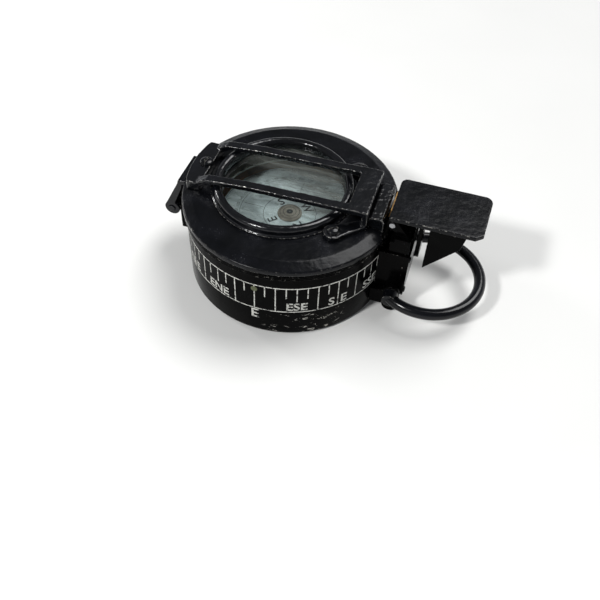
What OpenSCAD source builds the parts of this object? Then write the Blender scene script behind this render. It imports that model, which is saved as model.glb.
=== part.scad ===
// Handheld bearing compass: a liquid compass in a round enamelled brass case,
// with a guarded window lid, a folding reading prism and a thumb ring.
// Millimetres. Z = 0 is the base, the Z axis is the case axis,
// +X points to the prism and the thumb ring, -X to the lid hinge.

/* [Case] */
// Outer radius of the case
case_r = 30.1; // [24:0.1:37]
// Height of the case wall, up to the turning bezel
case_h = 23.4; // [19:0.1:29]
// Thickness of the case wall
case_wall = 2.4; // [1.9:0.1:3]
// Thickness of the case floor above the base cover
case_floor = 1.6; // [1.2:0.1:2.2]
// Rounding of the bottom edge
foot_edge = 1.1; // [0.5:0.1:1.5]
// Thickness of the screwed base cover
base_t = 1.6; // [1.2:0.1:2]
// Radius of the base cover
base_r = 25.5; // [18:0.1:26.5]

/* [Bowl] */
// Thickness of the bowl wall
bowl_wall = 3.1; // [2.6:0.1:3.6]
// Height of the expansion space under the bowl floor
expansion_h = 2.8; // [2.5:0.1:3.4]
// Thickness of the bowl glass
bowl_glass_t = 1.0; // [0.8:0.1:1.2]
// Height of the threaded ring that holds the bowl glass
lock_h = 0.8; // [0.6:0.1:1]
// Width of the threaded ring
lock_w = 3.9; // [2.5:0.1:5]

/* [Card] */
// Clear width between the card and the bowl wall
card_margin = 3.8; // [2:0.1:5]
// Thickness of the card
card_t = 0.4; // [0.3:0.1:0.6]
// Radius of the centre cap
cap_r = 3.6; // [3:0.1:4.4]
// Length of each magnet
magnet_l = 24; // [16:1:26]

/* [Bezel] */
// Height of the turning bezel above the case wall
bezel_h = 1.7; // [1.4:0.1:2.2]
// Depth of the bezel skirt inside the case
skirt_h = 2.5; // [2.4:0.1:3]
// Thickness of the bezel glass
bezel_glass_t = 1.3; // [1:0.1:1.5]

/* [Lid] */
// How far the lid stands out past the case wall
lid_out = 0.9; // [0.8:0.1:1.4]
// Thickness of the lid
lid_t = 2.7; // [2.4:0.1:3.2]
// Width of the sloped shoulder round the lid
shoulder_w = 3.2; // [2:0.1:4]
// Distance of the lid hinge pin outside the case wall
lid_pin_out = 5.5; // [5:0.1:6.5]
// Distance of the lid hinge pin below the top of the case wall
lid_pin_down = 8.1; // [7:0.1:9]
// Radius of the lid hinge knuckles
knuckle_r = 2.4; // [2:0.1:2.6]
// Radius of the lid hinge pin
lid_pin_r = 1.0; // [0.7:0.1:1.2]
// Half length of the lid hinge
lid_hinge_y = 6.0; // [5:0.1:8]

/* [Window] */
// Inner radius of the window rim
window_r = 17.5; // [12:0.1:18]
// Width of the rounded window rim
rim_w = 2.6; // [2.4:0.1:3.3]
// Height of the window rim above the lid
rim_h = 3.0; // [2.4:0.1:3.2]
// Offset of the window towards the lid hinge
window_back = 2.0; // [1:0.1:2.4]

/* [Guard] */
// Height of the guard bars above the lid, at the tongue end
guard_h = 6.4; // [5.8:0.1:7]
// Half width of the guard, over the bars
guard_y = 9.3; // [7:0.1:9.8]
// Width of each guard bar
bar_w = 2.7; // [2:0.1:3.2]
// Thickness of the guard bars
bar_t = 1.6; // [1.2:0.1:1.8]

/* [Prism] */
// Length of the prism plate
plate_l = 25; // [24:0.5:28]
// Half width of the prism plate
plate_y = 8.35; // [7.6:0.05:8.7]
// Thickness of the prism plate
plate_t = 1.3; // [1:0.1:1.6]
// Half width of the prism case
prism_y = 7.0; // [6:0.1:7.4]
// Radius of the prism hinge pin
prism_pin_r = 0.8; // [0.6:0.1:0.9]
// Travel of the focusing slide
focus_travel = 3.0; // [1:0.1:3.5]
// Half width of the prism bracket
bracket_y = 8.5; // [8.3:0.1:8.8]
// Height of the underside of the prism bracket
bracket_z = 6.0; // [5:0.1:7]

/* [Thumb ring] */
// Radius of the thumb ring, to the middle of its wire
ring_r = 15.1; // [14:0.1:18.2]
// Radius of the ring wire
wire_r = 1.65; // [1.4:0.05:1.9]
// Height of the ring hinge above the base
ring_z = 8.0; // [7:0.1:9]
// Distance of the ring hinge outside the case wall
ring_out = 4.3; // [4:0.1:5]

/* [Fits] */
// Clearance of turning and sliding fits, per side
run_gap = 0.05; // [0.02:0.01:0.09]
// Clearance between pieces that pass each other
free_gap = 0.3; // [0.3:0.05:0.4]

/* [Hidden] */

$fn = 96;
eps = 0.01;
fit = 0.05;      // clearance of pieces that are fixed together
skin_gap = 0.02; // clearance of pins and shanks that are pressed in
big = 200;

ENAMEL = [0.05, 0.05, 0.06];
BRASS = [0.72, 0.56, 0.30];
STEEL = [0.62, 0.62, 0.64];
GLASS = [0.80, 0.90, 0.92, 0.35];

// Case and bowl
bore_r = case_r - case_wall;
floor_z = base_t + case_floor;
bezel_z = case_h + free_gap;
skirt_z = bezel_z - skirt_h;
bowl_r = bore_r - 0.2;
bowl_in = bowl_r - bowl_wall;
bowl_z = floor_z + expansion_h;
bowl_floor_t = 1.2;
bowl_top = bowl_z + bowl_floor_t;
collar_r = bowl_r - 1.3;
collar_in = collar_r - 0.9;
collar_z = skirt_z + 0.6;
bowl_lip = skirt_z - free_gap;
glass_z = collar_z - lock_h - bowl_glass_t;
gasket_t = 0.3;
diaphragm_r = bowl_r - 1.5;
diaphragm_z = bowl_z - 0.8;
diaphragm_t = 0.3;

// Card
card_r = bowl_in - card_margin;
card_z = glass_z - 1.5;
cap_top = glass_z - free_gap;
cap_low = card_z - 1.5;
hub_r = cap_r - 1.1;
pivot_tip = card_z + 0.05;

// Bezel
bezel_r = case_r + 0.7;
ridge = 0.3;
skirt_r = bore_r - run_gap;
skirt_in = bore_r - 1.1;
lip_w = 2.0;
bezel_top = bezel_z + bezel_h;
bezel_glass_z = bezel_top - 1.2 - bezel_glass_t;
wire_groove_z = skirt_z + 1.1;
snap_r = 0.4;
snap_mid = bore_r + 0.05;

// Lid
lid_r = case_r + lid_out;
lid_z = bezel_top + free_gap;
lid_top = lid_z + lid_t;
lip_h = 1.5;
lid_recess = 0.6;
notch_x = case_r - 1.3;
notch_y = guard_y;
seat_z = lid_z + 1.2;
seal_t = 0.2;
lid_glass_r = window_r + 0.9;
lid_pin_x = -(case_r + lid_pin_out);
lid_pin_z = case_h - lid_pin_down;
hinge_plate_x = lid_pin_x + knuckle_r + 0.4;
centre_knuckle_y = lid_hinge_y / 3;
hinge_screw_z = lid_pin_z - 4.8;
hinge_screw_y = 0.67 * lid_hinge_y;
hinge_seat_x = -sqrt(case_r * case_r - hinge_screw_y * hinge_screw_y);
hinge_screw_l = hinge_seat_x - hinge_plate_x + case_wall - 0.6;
screw_r = 0.9;

// Window and guard
rim_out = window_r + rim_w;
collar_w = 0.6;
guard_top = lid_top + guard_h;
wall_x = notch_x - 4.3;
sector_x = -(window_back + rim_out + 1.8);
sector_z = lid_top + 2.8;
ear_x = -window_back + (rim_out + 2.9) * cos(36.2);
ear_y = (rim_out + 2.9) * sin(36.2);
ear_r = 2.7;
ear_t = 1.6;
tongue_z = lid_top + 3.6;
tongue_y = 7.5;

// Prism group, bracket and slide
pin_x = case_r + 0.9;
pin_z = lid_top + 1.8;
ear2_r = 1.8;
plate_z = pin_z + 3.0;
channel_x = case_r + 1.9;
bracket_x = case_r + 5.8;
cover_t = 1.5;
bracket_top = case_h - 1.9;
channel_y = bracket_y - 2.0;
slide_z = bracket_z + 1.0;
slide_y = channel_y - 2 * run_gap;
head_y = 7.9;
stud_x = channel_x + 1.9;
stud_z = bracket_top - 3.7 - focus_travel;
stud_r = 1.0;
stud_shank_r = stud_r - 0.3;
leaf_x = pin_x + 7.0;
leaf_t = 1.2;
leaf_y = 4.0;
lens_z = pin_z - 6.4;
lens_r = 2.0;
prism_x0 = pin_x + 10;
prism_x1 = pin_x + 19.8;
prism_slope = 1.1;
prism_wall = 1.2;
prism_nose_z = pin_z - 2.7;
prism_low_z = pin_z - 12.9;

// Thumb ring
ring_x = case_r + ring_out;
lug_in = bracket_y + 0.3;
lug_t = 1.8;
lug_out = lug_in + lug_t;
elbow_y = lug_out + free_gap + wire_r;
ring_mid = ring_x + sqrt(ring_r * ring_r - elbow_y * elbow_y);
ring_end = 180 - asin(elbow_y / ring_r);
ring_pin_r = 1.1;
lug_r = 2.25;

function arc(cx, cy, r, a0, a1, n) =
    [for (i = [0 : n]) let (a = a0 + (a1 - a0) * i / n) [cx + r * cos(a), cy + r * sin(a)]];

// A slab whose outline is drawn in X and Z, from y0 to y1
module xz_slab(y0, y1, pts) {
    translate([0, y1, 0]) rotate([90, 0, 0]) linear_extrude(y1 - y0) polygon(pts);
}

// A round bar along Y
module y_rod(x, z, y0, y1, r) {
    translate([x, y1, z]) rotate([90, 0, 0]) cylinder(r = r, h = y1 - y0);
}

// A round bar along X
module x_rod(x0, x1, y, z, r) {
    translate([x0, y, z]) rotate([0, 90, 0]) cylinder(r = r, h = x1 - x0);
}

// A flat ring
module ring(r_in, r_out, z0, z1) {
    rotate_extrude() translate([r_in, z0]) square([r_out - r_in, z1 - z0]);
}

// A slotted screw with a domed head: the head stands on z = 0, the shank points down
module dome_screw(head_r, head_h, shank_r, shank_l) {
    difference() {
        union() {
            rotate_extrude() polygon(concat(
                [[0, 0], [head_r, 0]],
                [for (i = [0 : 6]) [head_r * cos(15 * i), head_h * (0.4 + 0.6 * sin(15 * i))]]));
            translate([0, 0, -shank_l]) cylinder(r = shank_r, h = shank_l + eps);
        }
        translate([-head_r, -0.2, head_h * 0.55]) cube([2 * head_r, 0.4, head_h]);
    }
}

// ---- Case ----

module case_blank() {
    rotate_extrude() polygon(concat(
        [[base_r + fit, 0]],
        arc(case_r - foot_edge, foot_edge, foot_edge, -90, 0, 6),
        [[case_r, case_h], [bore_r, case_h],
         [bore_r, wire_groove_z + snap_r], [bore_r + 0.5, wire_groove_z + snap_r],
         [bore_r + 0.5, wire_groove_z - snap_r], [bore_r, wire_groove_z - snap_r],
         [bore_r, floor_z], [0, floor_z], [0, base_t], [base_r + fit, base_t]]));
}

module case_body() {
    color(ENAMEL) difference() {
        case_blank();
        at_base_screws() translate([0, 0, base_t - eps]) cylinder(r = screw_r + fit, h = case_floor + 2 * eps);
        at_hinge_screws() x_rod(-2 * screw_r, case_wall - 0.5, 0, 0, screw_r + fit);
    }
}

module at_base_screws() {
    for (i = [0 : 2]) rotate(60 + 120 * i) translate([base_r * 0.82, 0, 0]) children();
}

module base_cover() {
    color(ENAMEL) difference() {
        cylinder(r = base_r, h = base_t);
        at_base_screws() {
            translate([0, 0, -eps]) cylinder(r = screw_r + fit, h = base_t + 2 * eps);
            translate([0, 0, -eps]) cylinder(r1 = 1.8 + fit, r2 = screw_r + fit, h = 0.9 + fit);
        }
    }
}

module base_screws() {
    color(STEEL) at_base_screws() difference() {
        union() {
            translate([0, 0, 0.1]) cylinder(r1 = 1.7, r2 = screw_r, h = 0.8);
            translate([0, 0, 0.8]) cylinder(r = screw_r, h = floor_z - 0.9);
        }
        translate([-2, -0.2, 0]) cube([4, 0.4, 0.45]);
    }
}

module bowl() {
    color(BRASS) difference() {
        rotate_extrude() polygon([
            [diaphragm_r + fit, floor_z], [bowl_r, floor_z], [bowl_r, bowl_lip], [collar_r, bowl_lip],
            [collar_r, collar_z], [collar_in, collar_z], [collar_in, glass_z - gasket_t],
            [bowl_in, glass_z - gasket_t], [bowl_in, bowl_top], [0, bowl_top], [0, bowl_z],
            [diaphragm_r - 2.4, bowl_z], [diaphragm_r - 2.4, diaphragm_z],
            [diaphragm_r + fit, diaphragm_z]]);
        at_plug() translate([0, 0, bowl_z - eps]) cylinder(r = 1.6 + fit, h = bowl_floor_t + 2 * eps);
    }
}

module at_plug() {
    translate([0, bowl_in * 0.5, 0]) children();
}

// A thin corrugated disc that takes up the swelling of the liquid
module expansion_diaphragm() {
    flat_r = diaphragm_r - 3;
    wave = 3.2;
    function height(r) = r > flat_r ? 0 : -0.3 + 0.3 * cos(360 * (flat_r - r) / wave);
    steps = floor(flat_r / (wave / 4));
    radii = concat([for (i = [steps : -1 : 1]) flat_r - i * wave / 4], [flat_r, diaphragm_r]);
    color(BRASS) rotate_extrude() polygon(concat(
        [[0, diaphragm_z - 0.3]],
        [for (r = radii) [r, diaphragm_z + height(r)]],
        [for (i = [len(radii) - 1 : -1 : 0]) [radii[i], diaphragm_z - diaphragm_t + height(radii[i])]],
        [[0, diaphragm_z - diaphragm_t - 0.3]]));
}

module diaphragm_ring() {
    color(BRASS) ring(diaphragm_r - 1.4, diaphragm_r, floor_z + 0.5, diaphragm_z - diaphragm_t);
}

module filler_plug() {
    color(BRASS) at_plug() {
        translate([0, 0, bowl_z]) cylinder(r = 1.6, h = bowl_floor_t);
        translate([0, 0, bowl_z - 0.4]) cylinder(r = 2.3, h = 0.4);
    }
}

module pivot_post() {
    shank = bowl_top + 0.6 * (pivot_tip - bowl_top);
    color(STEEL) rotate_extrude() polygon([
        [0, bowl_top], [3, bowl_top], [3, bowl_top + 0.8], [1.2, bowl_top + 0.8],
        [1.2, shank], [0.15, pivot_tip], [0, pivot_tip]]);
}

// A fixed fin at the rim of the card, against which the card is read
module lubber_pointer() {
    color("white") intersection() {
        translate([card_r + free_gap, -0.25, card_z - 0.9]) cube([bowl_in, 0.5, 1.1]);
        cylinder(r = bowl_in, h = big);
    }
}

module bowl_glass() {
    color(GLASS) translate([0, 0, glass_z]) cylinder(r = collar_in - fit, h = bowl_glass_t);
}

module glass_gasket() {
    color([0.1, 0.1, 0.1]) ring(bowl_in, collar_in - fit, glass_z - gasket_t, glass_z);
}

module lock_ring() {
    color(BRASS) difference() {
        ring(collar_in - fit - lock_w, collar_in - fit, glass_z + bowl_glass_t, collar_z);
        for (a = [0, 180]) rotate(a)
            translate([collar_in - lock_w - 1, -0.8, collar_z - 0.4]) cube([2.4, 1.6, 1]);
    }
}

// A split wire that holds the bezel down and drags on it
module retaining_wire() {
    color(STEEL) difference() {
        rotate_extrude() translate([snap_mid, wire_groove_z]) circle(r = snap_r - 0.01, $fn = 32);
        rotate(115) translate([bore_r - 3, -1.5, wire_groove_z - 2]) cube([6, 3, 4]);
    }
}

// ---- Lid hinge, case half ----

module at_hinge_screws() {
    for (s = [-1, 1])
        translate([hinge_seat_x, s * hinge_screw_y, hinge_screw_z]) children();
}

module hinge_base() {
    base_low = lid_pin_z - 6.8;
    color(ENAMEL) difference() {
        union() {
            translate([hinge_plate_x, -lid_hinge_y, base_low])
                cube([4, 2 * lid_hinge_y, lid_pin_z + 1.7 - base_low]);
            translate([lid_pin_x, -centre_knuckle_y, lid_pin_z - 1.6])
                cube([hinge_plate_x - lid_pin_x + eps, 2 * centre_knuckle_y, 3.2]);
            y_rod(lid_pin_x, lid_pin_z, -centre_knuckle_y, centre_knuckle_y, knuckle_r);
        }
        cylinder(r = case_r, h = big);
        y_rod(lid_pin_x, lid_pin_z, -big, big, lid_pin_r + skin_gap);
        for (s = [-1, 1])
            x_rod(hinge_plate_x - eps, 0, s * hinge_screw_y, hinge_screw_z, screw_r + fit);
    }
}

module hinge_screws() {
    color(STEEL) for (s = [-1, 1])
        translate([hinge_plate_x, s * hinge_screw_y, hinge_screw_z]) rotate([0, -90, 0])
            dome_screw(1.5, 0.6, screw_r, hinge_screw_l);
}

module lid_hinge_pin() {
    color(STEEL) y_rod(lid_pin_x, lid_pin_z, -lid_hinge_y - 0.3, lid_hinge_y + 0.3, lid_pin_r);
}

// ---- Prism bracket on the case ----

module at_cover_screws() {
    for (s = [-1, 1], z = [bracket_z + 1.5, bracket_top - 1.5])
        translate([bracket_x + cover_t, s * (bracket_y - 1.0), z]) rotate([0, 90, 0]) children();
}

module prism_bracket() {
    color(ENAMEL) difference() {
        translate([0, -bracket_y, bracket_z])
            cube([bracket_x, 2 * bracket_y, bracket_top - bracket_z]);
        cylinder(r = case_r, h = big);
        translate([channel_x, -channel_y, bracket_z + 0.7]) cube([big, 2 * channel_y, big]);
        // the slot in which the focusing stud travels
        translate([stud_x - stud_r - 0.1, 0, stud_z - stud_r - 0.2])
            cube([2 * stud_r + 0.2, big, focus_travel + 2 * stud_r + 0.4]);
        at_cover_screws() translate([0, 0, -cover_t - 3]) cylinder(r = 0.5 + fit, h = 3.2);
    }
}

module bracket_cover() {
    color(ENAMEL) difference() {
        translate([bracket_x, -bracket_y, bracket_z]) cube([cover_t, 2 * bracket_y, bracket_top - bracket_z]);
        at_cover_screws() translate([0, 0, -cover_t - 1]) cylinder(r = 0.5 + fit, h = cover_t + 2);
    }
}

module cover_screws() {
    color(STEEL) at_cover_screws() dome_screw(0.9, 0.45, 0.5, cover_t + 2.8);
}

// ---- Ring lugs ----

module ring_lugs() {
    color(ENAMEL) for (s = [-1, 1]) difference() {
        translate([0, s * (lug_in + lug_out) / 2, 0]) union() {
            y_rod(ring_x, ring_z, -lug_t / 2, lug_t / 2, lug_r);
            y_rod(ring_x, lug_r + 0.3, -lug_t / 2, lug_t / 2, lug_r);
            translate([ring_x - 9, -lug_t / 2, lug_r + 0.3]) cube([9 + lug_r, lug_t, ring_z - lug_r - 0.3]);
        }
        cylinder(r = case_r, h = big);
        y_rod(ring_x, ring_z, -big, big, ring_pin_r + run_gap);
    }
}

// ---- Bezel ----

module bezel_ring() {
    pitch = bezel_h / 3;
    color(ENAMEL) rotate_extrude() polygon(concat(
        [[skirt_in, skirt_z], [skirt_r, skirt_z], [skirt_r, skirt_z + 0.4],
         [snap_mid - snap_r - 0.35, skirt_z + 0.4], [snap_mid - snap_r - 0.35, wire_groove_z + snap_r + 0.3],
         [skirt_r, wire_groove_z + snap_r + 0.3], [skirt_r, bezel_z]],
        [for (i = [0 : 2], k = [0 : 3]) let (z = bezel_z + i * pitch)
            [bezel_r - (k == 0 || k == 3 ? ridge : 0), z + [0, 0.14, 0.42, 0.5][k]]],
        [[bezel_r - ridge, bezel_top], [skirt_in - lip_w, bezel_top],
         [skirt_in - lip_w, bezel_glass_z + bezel_glass_t], [skirt_in, bezel_glass_z + bezel_glass_t]]));
}

module bearing_glass() {
    color(GLASS) translate([0, 0, bezel_glass_z]) cylinder(r = skirt_in - fit, h = bezel_glass_t);
}

module glass_clamp() {
    color(BRASS) ring(skirt_in - 1.2, skirt_in - fit, bezel_glass_z - 0.6, bezel_glass_z);
}

// ---- Card ----

module dial_card() {
    color([0.75, 0.82, 0.80]) ring(hub_r + fit, card_r, card_z, card_z + card_t);
}

module jewel_cap() {
    color([0.35, 0.32, 0.28]) rotate_extrude() polygon(concat(
        [[1.9, cap_low], [hub_r, cap_low], [hub_r, card_z + card_t], [cap_r, card_z + card_t]],
        [for (i = [0 : 5]) let (a = 18 * i, h = cap_top - card_z - card_t)
            [cap_r * cos(a), card_z + card_t + h * (0.4 + 0.6 * sin(a))]],
        [[0, card_z + 0.35], [0.3, card_z + 0.35]]));
}

module compass_magnets() {
    color(STEEL) for (s = [-1, 1])
        translate([-magnet_l / 2, s * 6 - 1, card_z - 1.2]) cube([magnet_l, 2, 1.2]);
}

// ---- Lid ----

module lid_blank() {
    rotate_extrude() polygon([
        [0, lid_z + lid_recess], [lid_r - 4.7, lid_z + lid_recess], [lid_r - 4.7, lid_z],
        [lid_r, lid_z], [lid_r, lid_z + lip_h], [lid_r - shoulder_w, lid_top], [0, lid_top]]);
}

module at_window() {
    translate([-window_back, 0, 0]) children();
}

// Where the guard is screwed to the lid: two ears and the hinge-side sector
module at_ears() {
    for (s = [-1, 1]) translate([ear_x, s * ear_y, lid_top + ear_t]) children();
}

module at_sector_screw() {
    translate([sector_x - 1.7, 0, sector_z]) children();
}

module lid_plate() {
    color(ENAMEL) difference() {
        lid_blank();
        at_window() translate([0, 0, lid_z - eps]) cylinder(r = window_r - 0.1, h = lid_t + 1);
        at_window() translate([0, 0, seat_z]) cylinder(r = lid_glass_r + fit, h = lid_t);
        translate([notch_x, -notch_y, 0]) cube([10, 2 * notch_y, big]);
        at_ears() translate([0, 0, -10]) cylinder(r = screw_r + fit, h = 10);
        at_sector_screw() translate([0, 0, -10]) cylinder(r = screw_r + fit, h = 10);
    }
}

module glass_seal() {
    color([0.1, 0.1, 0.1]) at_window() ring(window_r - 0.1, lid_glass_r, seat_z, seat_z + seal_t);
}

module lid_glass() {
    color(GLASS) at_window() translate([0, 0, seat_z + seal_t])
        cylinder(r = lid_glass_r, h = lid_top - seat_z - seal_t);
}

module hair_line() {
    color("black") at_window() translate([-window_r + 0.4, -0.12, seat_z + seal_t - 0.12])
        cube([2 * window_r - 0.8, 0.24, 0.12]);
}

module window_rim() {
    half = rim_w / 2;
    color(ENAMEL) difference() {
        at_window() rotate_extrude() polygon(concat(
            [[window_r, lid_top]],
            [[rim_out + collar_w, lid_top], [rim_out + collar_w, lid_top + 0.5], [rim_out, lid_top + 0.5]],
            arc(window_r + half, lid_top + rim_h - half, half, 0, 180, 12)));
        at_ears() translate([0, 0, -ear_t - eps]) cylinder(r = ear_r + 0.1, h = big);
        for (s = [-1, 1]) ear_web(s, 0.2);
    }
}

// The tapered web from an ear to the end wall of the guard
module ear_web(s, grow) {
    from = [ear_x, s * ear_y];
    to = [wall_x - 0.8, s * (guard_y - 1.4)];
    along = (to - from) / norm(to - from);
    side = [-along[1], along[0]];
    translate([0, 0, lid_top - grow]) linear_extrude(ear_t + 2 * grow) polygon([
        from + side * (ear_r + grow - 0.2), to + side * (1.3 + grow),
        to - side * (1.3 + grow), from - side * (ear_r + grow - 0.2)]);
}

module window_guard() {
    bar_low = guard_top - bar_t;
    color(ENAMEL) difference() {
        union() {
            for (s = [-1, 1]) {
                y_mid = s * (guard_y - bar_w / 2);
                xz_slab(y_mid - bar_w / 2, y_mid + bar_w / 2, [
                    [sector_x - 1.2, sector_z - 1.2], [sector_x - 1.2, sector_z + 0.3],
                    [sector_x + 2.0, guard_top - 1.7], [sector_x + 14, guard_top - 0.7], [wall_x, guard_top],
                    [wall_x, bar_low], [sector_x + 14, bar_low - 0.7],
                    [sector_x + 2.9, bar_low - 1.5], [sector_x, sector_z - 1.2]]);
                ear_web(s, 0);
                translate([ear_x, s * ear_y, lid_top]) cylinder(r = ear_r, h = ear_t);
            }
            translate([wall_x - 5.8, -guard_y, bar_low]) cube([5.8, 2 * guard_y, bar_t]);
            translate([wall_x - 1.6, -guard_y, lid_top]) cube([1.6, 2 * guard_y, guard_h - bar_t + eps]);
            intersection() {
                cylinder(r = lid_r - 1.4, h = sector_z);
                translate([-big, -guard_y, lid_z + lip_h]) cube([big + sector_x, 2 * guard_y, big]);
            }
        }
        lid_blank();
        at_ears() translate([0, 0, -10]) cylinder(r = screw_r + fit, h = 10 + eps);
        at_sector_screw() translate([0, 0, -10]) cylinder(r = screw_r + fit, h = 10 + eps);
    }
}

module guard_screws() {
    color(STEEL) {
        at_ears() rotate(35) dome_screw(1.7, 1.1, screw_r, ear_t + 1.8);
        at_sector_screw() rotate(80) dome_screw(1.9, 1.1, screw_r, sector_z - lid_top + 1.8);
    }
}

module lid_tongue() {
    x0 = wall_x + fit;
    color(ENAMEL) difference() {
        xz_slab(-tongue_y, tongue_y, [
            [x0, lid_top - 1], [notch_x, lid_top - 1], [notch_x, tongue_z - 0.7],
            [notch_x - 0.6, tongue_z], [x0 + 0.6, tongue_z], [x0, tongue_z - 0.6]]);
        lid_blank();
    }
}

module lid_hinge_leaf() {
    color(ENAMEL) difference() {
        union() {
            xz_slab(-lid_hinge_y, lid_hinge_y, [
                [-lid_r + 1.2, lid_z + lip_h], [-lid_r - 1.6, lid_z + lip_h], [-lid_r - 2.0, lid_z],
                [lid_pin_x - 1.9, lid_pin_z + 1.4], [lid_pin_x + 0.8, lid_pin_z + 1.6],
                [-bezel_r - 0.9, lid_z - 1.5], [-bezel_r - 0.6, lid_z], [-lid_r + 1.2, lid_z]]);
            for (s = [-1, 1])
                translate([0, s * (lid_hinge_y + centre_knuckle_y + free_gap) / 2, 0])
                    y_rod(lid_pin_x, lid_pin_z, -(lid_hinge_y - centre_knuckle_y - free_gap) / 2,
                          (lid_hinge_y - centre_knuckle_y - free_gap) / 2, knuckle_r);
        }
        lid_blank();
        y_rod(lid_pin_x, lid_pin_z, -centre_knuckle_y - free_gap, centre_knuckle_y + free_gap,
              knuckle_r + free_gap + 0.1);
        y_rod(lid_pin_x, lid_pin_z, -big, big, lid_pin_r + run_gap);
    }
}

// ---- Focusing slide ----

module prism_slide() {
    front = bracket_x - 0.1;
    head_z = bracket_top + free_gap;
    color(ENAMEL) difference() {
        union() {
            translate([channel_x + 0.1, -slide_y, slide_z])
                cube([front - channel_x - 0.1, 2 * slide_y, head_z + 1 - slide_z]);
            xz_slab(-head_y, head_y, [
                [bezel_r + 0.4, head_z], [bracket_x + 1, head_z], [bracket_x + 1, pin_z - 3.9],
                [bracket_x + 0.4, pin_z - 3.3], [pin_x + 1.3, pin_z - 3.3], [pin_x + 1.3, lid_z - 0.1],
                [bezel_r + 0.4, lid_z - 0.1]]);
            for (s = [-1, 1]) translate([0, s * 5.3, 0]) {
                xz_slab(-1.1, 1.1, [
                    [pin_x + 1.3, pin_z - 3.4], [pin_x + 4.9, pin_z - 3.4], [pin_x + 1.2, pin_z + 1.33],
                    [pin_x, pin_z], [pin_x - 1.2, pin_z - 1.33], [pin_x + 1.3, pin_z - 2.5]]);
                y_rod(pin_x, pin_z, -1.1, 1.1, ear2_r);
            }
        }
        y_rod(pin_x, pin_z, -big, big, prism_pin_r + skin_gap);
        y_rod(stud_x, stud_z, 0, big, stud_shank_r + skin_gap);
    }
}

module focus_stud() {
    color(BRASS) {
        y_rod(stud_x, stud_z, slide_y - 2, slide_y + eps, stud_shank_r);
        y_rod(stud_x, stud_z, slide_y, bracket_y + 0.4, stud_r);
        difference() {
            y_rod(stud_x, stud_z, bracket_y + 0.4, bracket_y + 2.2, 2.1);
            for (i = [0 : 11]) translate([stud_x, 0, stud_z]) rotate([0, 30 * i, 0])
                translate([2.05, bracket_y + 0.3, -0.15]) cube([1, 2.2, 0.3]);
        }
    }
}

module prism_pin() {
    color(STEEL) y_rod(pin_x, pin_z, -6.7, 6.7, prism_pin_r);
}

// ---- Prism ----

module prism_hinge() {
    color(BRASS) difference() {
        union() {
            y_rod(pin_x, pin_z, -3.9, 3.9, ear2_r);
            translate([pin_x - 1.4, -3.9, pin_z]) cube([2.4, 7.8, plate_z - pin_z]);
        }
        y_rod(pin_x, pin_z, -big, big, prism_pin_r + run_gap);
    }
}

module prism_plate() {
    x0 = pin_x - 1.0;
    x1 = x0 + plate_l;
    color(ENAMEL) translate([0, 0, plate_z]) linear_extrude(plate_t) polygon(concat(
        [[x0, -plate_y], [x1 - 2.2, -plate_y], [x1 - 0.4, -plate_y + 1.6]],
        arc(x1 - 2.2, plate_y - 2.2, 2.2, 0, 90, 6),
        arc(x0 + 1.8, plate_y - 1.8, 1.8, 90, 180, 6)));
}

// Seen along the hinge, the long face of the prism turns the view down to the card
module prism_case() {
    color(ENAMEL) difference() {
        xz_slab(-prism_y, prism_y, [
            [prism_x0, plate_z], [prism_x1, plate_z],
            [prism_x1 - prism_slope, prism_nose_z], [prism_x0, prism_low_z]]);
        xz_slab(-prism_y + prism_wall, prism_y - prism_wall, [
            [prism_x0 - 1, plate_z + 1], [prism_x1 - 0.8, plate_z + 1],
            [prism_x1 - 0.8 - prism_slope, prism_nose_z + 0.3],
            [prism_x0, prism_low_z + 1.3], [prism_x0 - 1, prism_low_z + 1.3]]);
    }
}

module prism_glass() {
    color(GLASS) xz_slab(-prism_y + prism_wall + fit, prism_y - prism_wall - fit, [
        [prism_x0 + 0.2, plate_z - skin_gap], [prism_x1 - 1, plate_z - skin_gap],
        [prism_x1 - 2, prism_nose_z + 0.34], [prism_x0 + 0.2, prism_low_z + 1.6]]);
}

module sight_leaf() {
    low = pin_z - 14.4 + leaf_y;
    color(ENAMEL) difference() {
        union() {
            translate([leaf_x, -leaf_y, low]) cube([leaf_t, 2 * leaf_y, plate_z - low]);
            x_rod(leaf_x, leaf_x + leaf_t, 0, low, leaf_y);
        }
        x_rod(leaf_x - 1, leaf_x + 3, 0, lens_z, lens_r + fit);
        // the sighting notch
        translate([leaf_x - 1, -0.4, low - leaf_y - 1]) cube([3, 0.8, 3.2]);
    }
}

module eye_lens() {
    color(GLASS) x_rod(leaf_x + 0.1, leaf_x + leaf_t - 0.1, 0, lens_z, lens_r);
}

// ---- Thumb ring ----

module thumb_ring() {
    color(ENAMEL) {
        translate([ring_mid, 0, ring_z]) rotate(-ring_end)
            rotate_extrude(angle = 2 * ring_end) translate([ring_r, 0]) circle(r = wire_r, $fn = 48);
        for (s = [-1, 1]) {
            y_rod(ring_x, ring_z, min(s * (lug_out + free_gap), s * (elbow_y + 1.3)),
                  max(s * (lug_out + free_gap), s * (elbow_y + 1.3)), 2.1);
            y_rod(ring_x, ring_z, min(s * lug_in, s * elbow_y), max(s * lug_in, s * elbow_y), ring_pin_r);
        }
    }
}

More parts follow.
